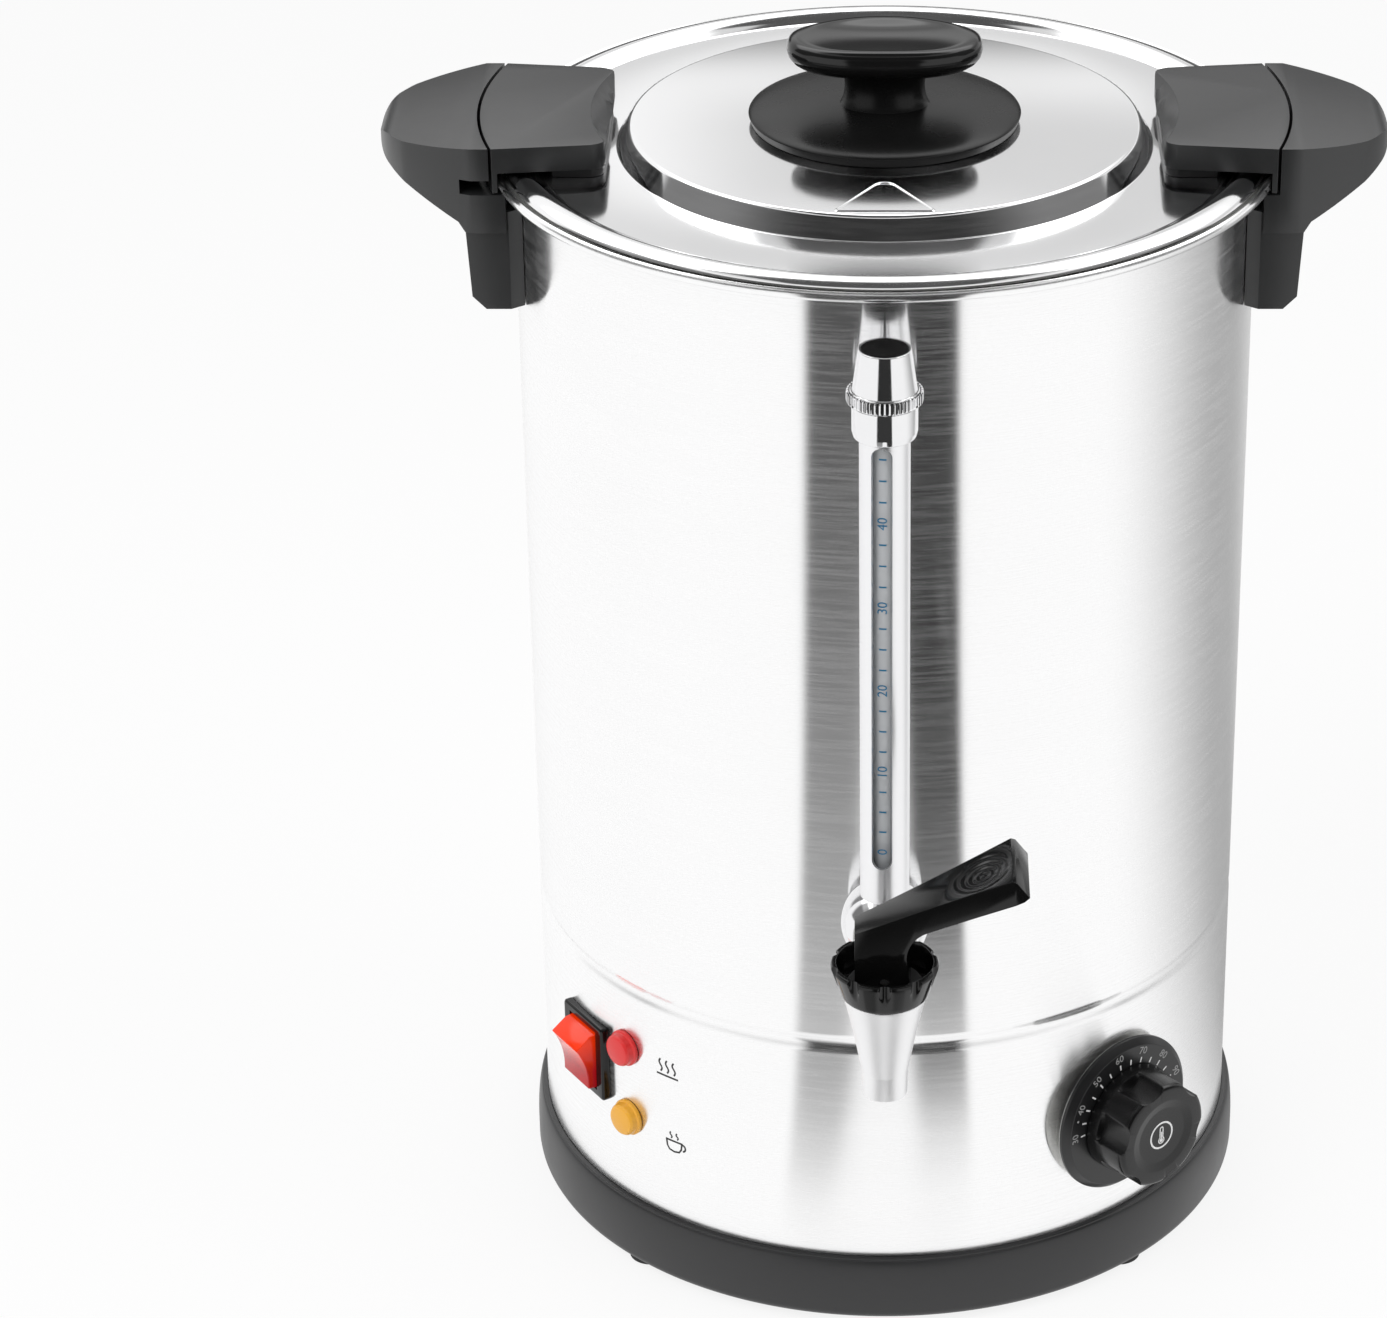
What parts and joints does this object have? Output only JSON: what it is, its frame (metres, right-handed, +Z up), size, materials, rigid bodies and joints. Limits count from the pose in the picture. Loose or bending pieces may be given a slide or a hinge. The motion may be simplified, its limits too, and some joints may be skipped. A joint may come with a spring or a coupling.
{
  "type": "electric coffee urn",
  "caption": "Stainless coffee urn with a twist-off lid, percolator, sight gauge, self-closing lever tap, thermostat dial, rocker switch and indicator lamps.",
  "frame": {"origin": "centre of the circle of feet, on the worktop", "axes": "+Z up, -Y towards the tap and gauge at the front, +X to the right of someone facing the front"},
  "size_m": [0.2974, 0.3093, 0.3796],
  "materials": {
    "brushed_body": "brushed round the body, satin",
    "inner_steel": "plain mill finish",
    "heater_aluminium": "cast",
    "element_sheath": "dull sheath",
    "polished_chrome": "polished plating",
    "plain_steel": "plain",
    "black_matte": "fine satin grain",
    "black_gloss": "polished",
    "soft_seal": "soft, matt",
    "gauge_tube": "clear",
    "red_lens": "tinted, clear moulding",
    "amber_lens": "tinted, clear moulding"
  },
  "bodies": {
    "urn": {"body_shell": "brushed_body", "base_shell": "brushed_body", "tank_floor": "inner_steel", "heater_plate": "heater_aluminium", "heating_element": "element_sheath", "thermal_cutouts": "element_sheath", "thermostat_bulb": "element_sheath", "thermostat_body": "black_matte", "terminal_block": "black_matte", "base_ring": "black_matte", "base_plate": "inner_steel", "base_screws": "plain_steel", "rubber_feet": "soft_seal", "handle_right": "black_matte", "handle_left": "black_matte", "handle_screws": "plain_steel", "tap_body": "polished_chrome", "tap_shank": "polished_chrome", "gauge_block": "polished_chrome", "tap_seals": "soft_seal", "tap_nut": "plain_steel", "tap_bonnet": "black_gloss", "gauge_shield": "polished_chrome", "gauge_glass": "gauge_tube", "gauge_seals": "soft_seal", "switch_housing": "black_matte", "lamp_red": "red_lens", "lamp_amber": "amber_lens", "lamp_nuts": "black_matte", "dial_plate": "black_matte", "dial_screws": "plain_steel", "cable_gland": "black_matte", "cable_gland_nut": "black_matte", "perk_tube": "inner_steel", "filter_basket": "inner_steel", "basket_cover": "inner_steel"},
    "lid_seal": {"lid_seal": "soft_seal"},
    "lid": {"lid_disc": "brushed_body", "lid_knob": "black_gloss", "knob_base": "black_gloss", "knob_screw": "plain_steel", "lug_right": "black_matte", "lug_left": "black_matte", "lug_clamps": "black_matte", "lug_screws": "plain_steel"},
    "tap_collar": {"tap_cam_washer": "plain_steel"},
    "tap_valve": {"tap_stem": "plain_steel", "tap_seat_cup": "soft_seal", "tap_spring": "plain_steel", "lever_pin": "plain_steel"},
    "tap_lever": {"tap_lever": "black_gloss"},
    "gauge_cap": {"gauge_cap": "polished_chrome", "gauge_cap_disc": "black_gloss"},
    "thermostat_knob": {"thermostat_knob": "black_matte", "thermostat_shaft": "plain_steel"},
    "rocker": {"rocker": "red_lens"}
  },
  "joints": [
    {"name": "lid_lift", "type": "slide", "parent": "urn", "child": "lid_seal", "axis": [0, 0, 1], "range_m": [0, 0.12]},
    {"name": "lid_twist", "type": "hinge", "parent": "lid_seal", "child": "lid", "pos_m": [0, 0, 0.345], "axis": [0, 0, 1], "range_deg": [0, 30]},
    {"name": "tap_swivel", "type": "hinge", "parent": "urn", "child": "tap_collar", "pos_m": [0, -0.171, 0.159], "axis": [0, 0, 1], "range_deg": [-180, 0]},
    {"name": "tap_lift", "type": "slide", "parent": "tap_collar", "child": "tap_valve", "axis": [0, 0, 1], "range_m": [0, 0.0031], "deforming": ["tap_spring"]},
    {"name": "lever_press", "type": "hinge", "parent": "tap_valve", "child": "tap_lever", "pos_m": [0, -0.171, 0.162], "axis": [0, 1, 0], "range_deg": [0, 25], "stiffness_Nm_per_rad": 0.08, "springref_deg": -17.19},
    {"name": "gauge_cap_turn", "type": "hinge", "parent": "urn", "child": "gauge_cap", "pos_m": [0, -0.1216, 0.3165], "axis": [0, 0, 1], "continuous": true},
    {"name": "thermostat_turn", "type": "hinge", "parent": "urn", "child": "thermostat_knob", "pos_m": [0.0751, -0.08762, 0.0604], "axis": [-0.6508, 0.7593, 0], "range_deg": [0, 212]},
    {"name": "rocker_press", "type": "hinge", "parent": "urn", "child": "rocker", "pos_m": [-0.09225, -0.05991, 0.0674], "axis": [-0.5446, 0.8387, 0], "range_deg": [0, 30]}
  ],
  "couplings": [
    {"joint": "tap_lift", "follows": "lever_press", "m_per_rad": 0.0068755}
  ]
}
